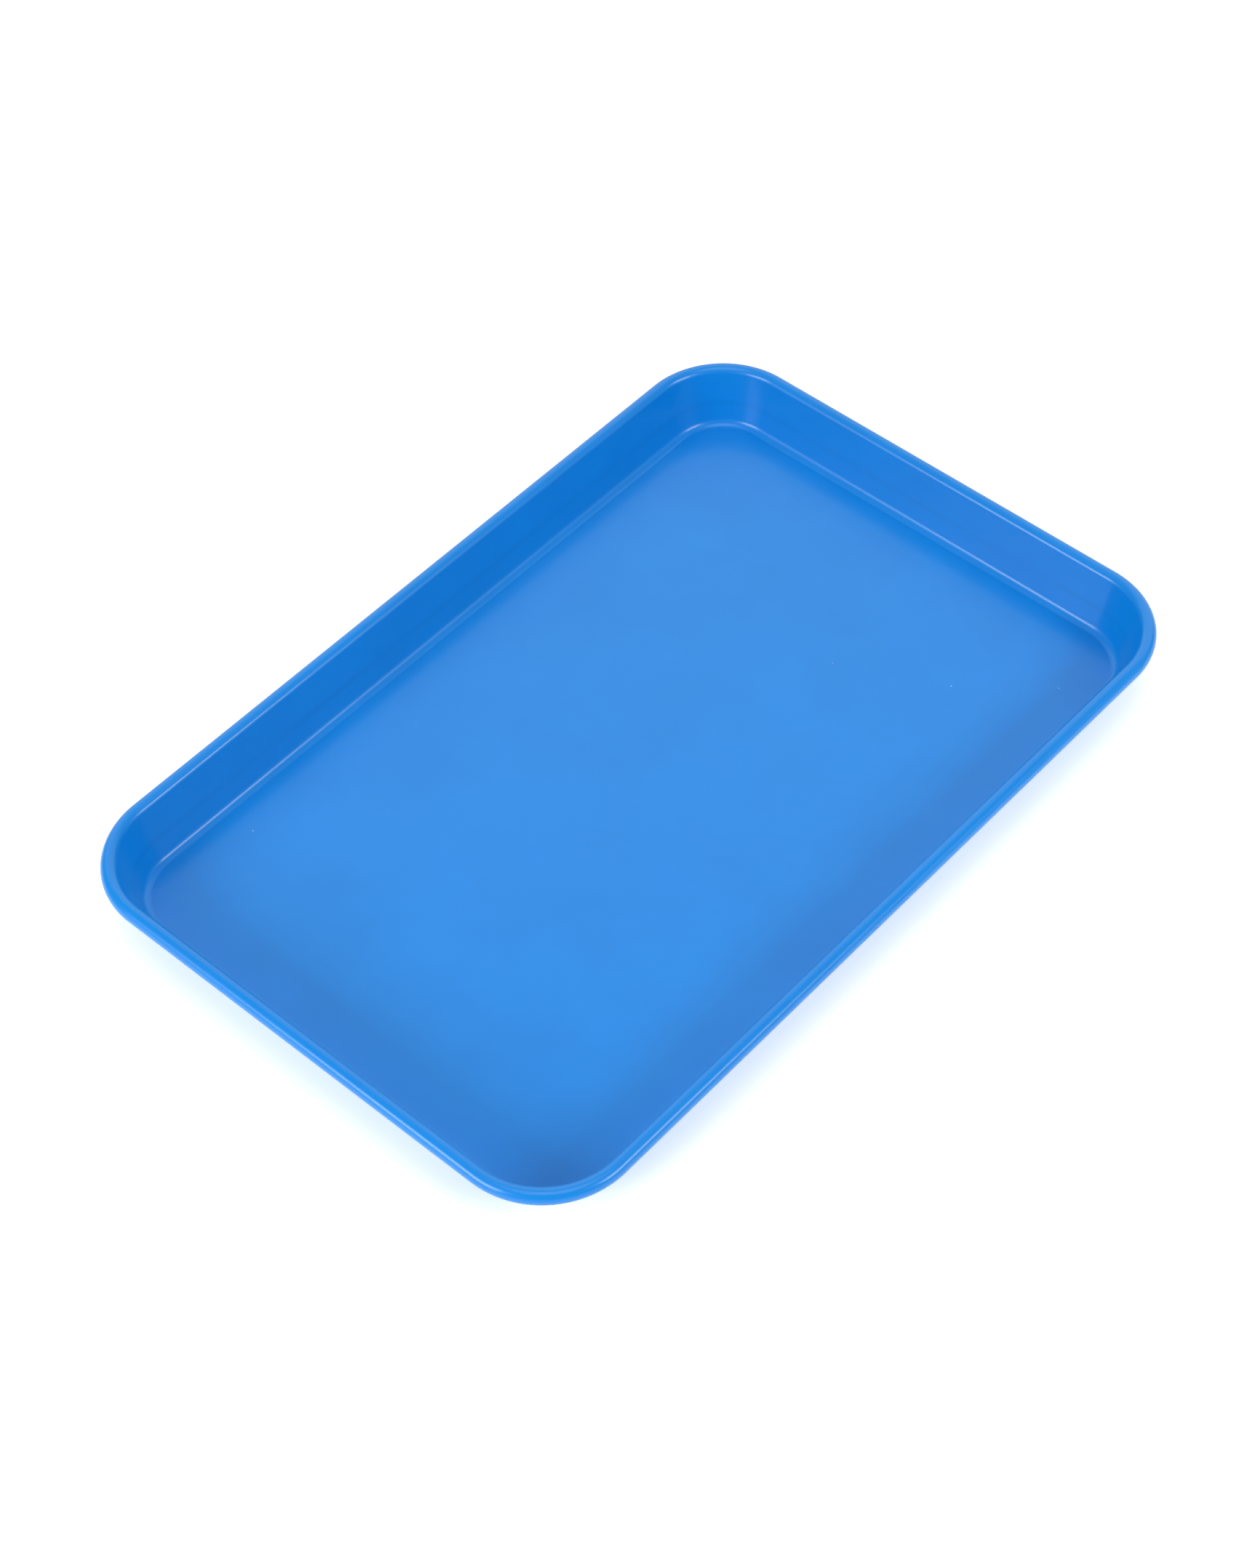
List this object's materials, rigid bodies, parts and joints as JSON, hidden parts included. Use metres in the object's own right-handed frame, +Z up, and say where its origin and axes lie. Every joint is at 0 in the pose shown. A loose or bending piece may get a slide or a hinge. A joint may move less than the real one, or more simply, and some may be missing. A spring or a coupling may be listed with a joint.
{
  "type": "rolled-rim tray",
  "caption": "Shallow rectangular pan of blue coated sheet steel, with a flat floor, leaning walls, rounded corners and a rim curled round a wire hoop.",
  "frame": {"origin": "middle of the flat underside, on the surface that the pan stands on", "axes": "+X along the length, +Y across the width, +Z up out of the pan's open top"},
  "size_m": [0.3, 0.2, 0.02],
  "materials": {
    "blue_coat": "satin baked coat",
    "galvanised_wire": "dull galvanised"
  },
  "bodies": {
    "root": {"pan_shell": "blue_coat", "rim_wire": "galvanised_wire"}
  },
  "joints": []
}
